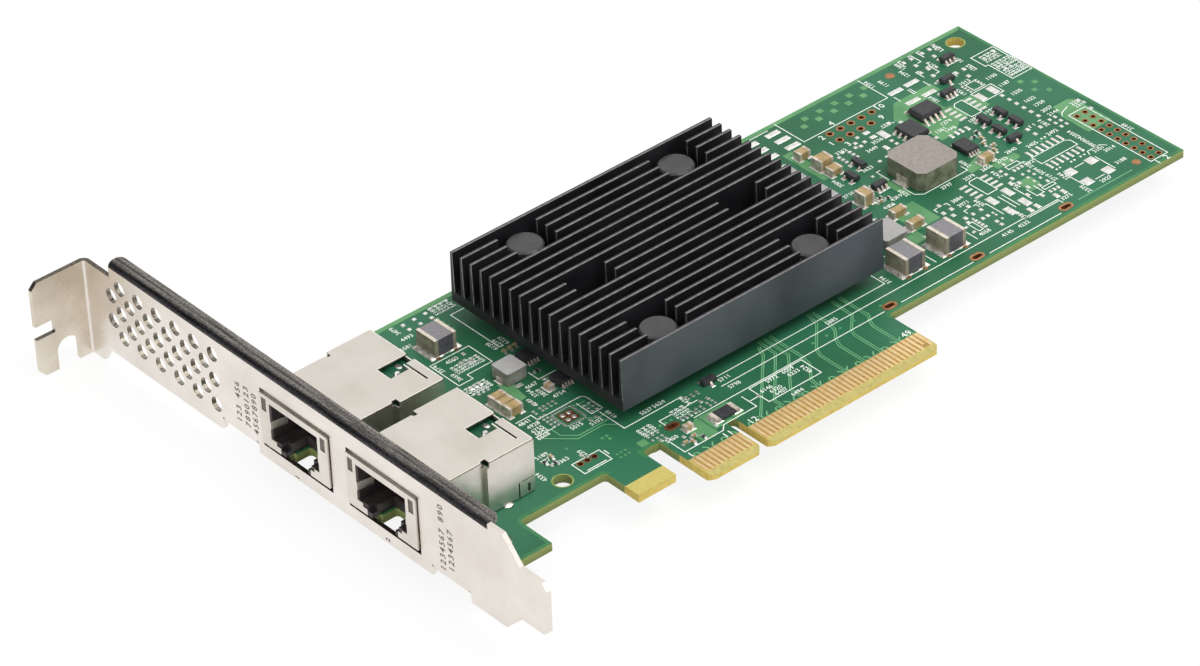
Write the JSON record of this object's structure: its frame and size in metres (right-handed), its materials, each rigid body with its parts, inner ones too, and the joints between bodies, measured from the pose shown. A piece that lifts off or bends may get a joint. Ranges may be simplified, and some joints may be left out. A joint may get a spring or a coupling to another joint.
{
  "type": "network interface card",
  "caption": "Two-port network interface card: green circuit board with gold edge fingers, black finned heatsink, shielded jacks and a full-height slot bracket.",
  "frame": {"origin": "middle of the connector key, at the finger edge and on the component surface of the board", "axes": "+X along the board away from the bracket; +Y from the finger edge to the opposite long edge; +Z out of the component side"},
  "size_m": [0.1802, 0.12, 0.0222],
  "materials": {
    "board_laminate": "semi-gloss solder mask",
    "gold_plate": "polished",
    "bracket_plate": "satin nickel plate",
    "screw_steel": "satin",
    "shell_plate": "satin nickel plate",
    "housing_plastic": "matte",
    "light_pipe_plastic": "clear cream",
    "transformer_plastic": "matte",
    "tin_plate": "satin tin",
    "heatsink_anodised": "black anodised",
    "pin_plastic": "matte",
    "spring_wire": "polished wire",
    "pad_compound": "soft matte",
    "controller_metal": "satin",
    "controller_laminate": "semi-gloss",
    "iron_powder": "pressed powder, matte",
    "ceramic": "fired ceramic, satin",
    "capacitor_plastic": "moulded, matte",
    "package_plastic": "moulded, matte"
  },
  "bodies": {
    "root": {"circuit_board": "board_laminate", "edge_contacts_front": "gold_plate", "edge_contacts_back": "gold_plate", "bracket": "bracket_plate", "bracket_screws": "screw_steel", "jack_1_shell": "shell_plate", "jack_1_housing": "housing_plastic", "jack_1_contact_wires": "gold_plate", "jack_1_light_pipes": "light_pipe_plastic", "jack_1_inner_board": "controller_laminate", "jack_1_magnetics": "transformer_plastic", "jack_1_board_pins": "tin_plate", "jack_2_shell": "shell_plate", "jack_2_housing": "housing_plastic", "jack_2_contact_wires": "gold_plate", "jack_2_light_pipes": "light_pipe_plastic", "jack_2_inner_board": "controller_laminate", "jack_2_magnetics": "transformer_plastic", "jack_2_board_pins": "tin_plate", "heatsink": "heatsink_anodised", "heatsink_push_pins": "pin_plastic", "heatsink_springs": "spring_wire", "thermal_pad": "pad_compound", "controller_cap": "controller_metal", "controller_substrate": "controller_laminate", "controller_solder_balls": "tin_plate", "main_inductor": "iron_powder", "main_inductor_terminals": "tin_plate", "small_inductor": "iron_powder", "small_inductor_terminals": "tin_plate", "flat_inductors": "iron_powder", "flat_inductor_terminals": "tin_plate", "block_capacitors": "capacitor_plastic", "block_capacitor_ends": "tin_plate", "ceramic_capacitors": "ceramic", "ceramic_capacitor_ends": "tin_plate", "sense_resistor": "package_plastic", "sense_resistor_ends": "tin_plate", "flash_memory": "package_plastic", "flash_memory_leads": "tin_plate", "power_chips": "package_plastic", "power_chip_leads": "tin_plate", "clock_chips": "package_plastic", "clock_chip_leads": "tin_plate", "small_transistors": "package_plastic", "small_transistor_leads": "tin_plate"}
  },
  "joints": []
}
